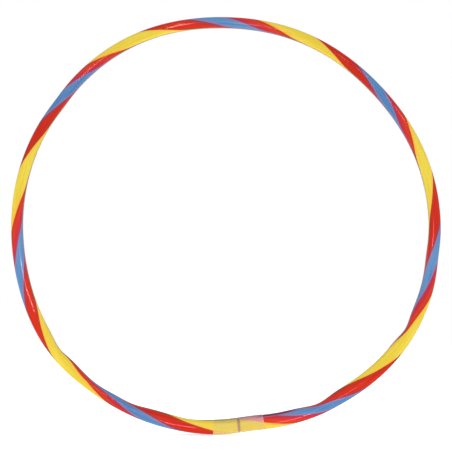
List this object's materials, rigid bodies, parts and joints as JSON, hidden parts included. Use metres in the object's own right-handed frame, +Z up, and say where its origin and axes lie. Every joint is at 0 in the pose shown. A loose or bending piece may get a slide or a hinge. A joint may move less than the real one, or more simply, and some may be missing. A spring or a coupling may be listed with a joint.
{
  "type": "rhythmic hoop",
  "caption": "Upright ring of thin-walled plastic pipe in twisted red, yellow and blue stripes, closed by a plug under a clear sleeve.",
  "frame": {"origin": "centre of the hoop's box, which is the centre of the ring", "axes": "+Z up, with the joint at the bottom; +Y along the ring's axis, from the front to the back; +X to the right as seen from the front"},
  "size_m": [0.7572, 0.0282, 0.7364],
  "materials": {
    "red_plastic": "glossy soft polyethylene, red",
    "yellow_plastic": "glossy soft polyethylene, yellow",
    "blue_plastic": "glossy soft polyethylene, light blue",
    "plug_plastic": "matt moulded plastic, brown",
    "clear_sleeve": "clear, slightly milky shrink sleeve"
  },
  "bodies": {
    "root": {"tube_wall": "red_plastic", "yellow_stripe": "yellow_plastic", "blue_stripe": "blue_plastic", "joint_plug": "plug_plastic", "joint_sleeve": "clear_sleeve"}
  },
  "joints": []
}
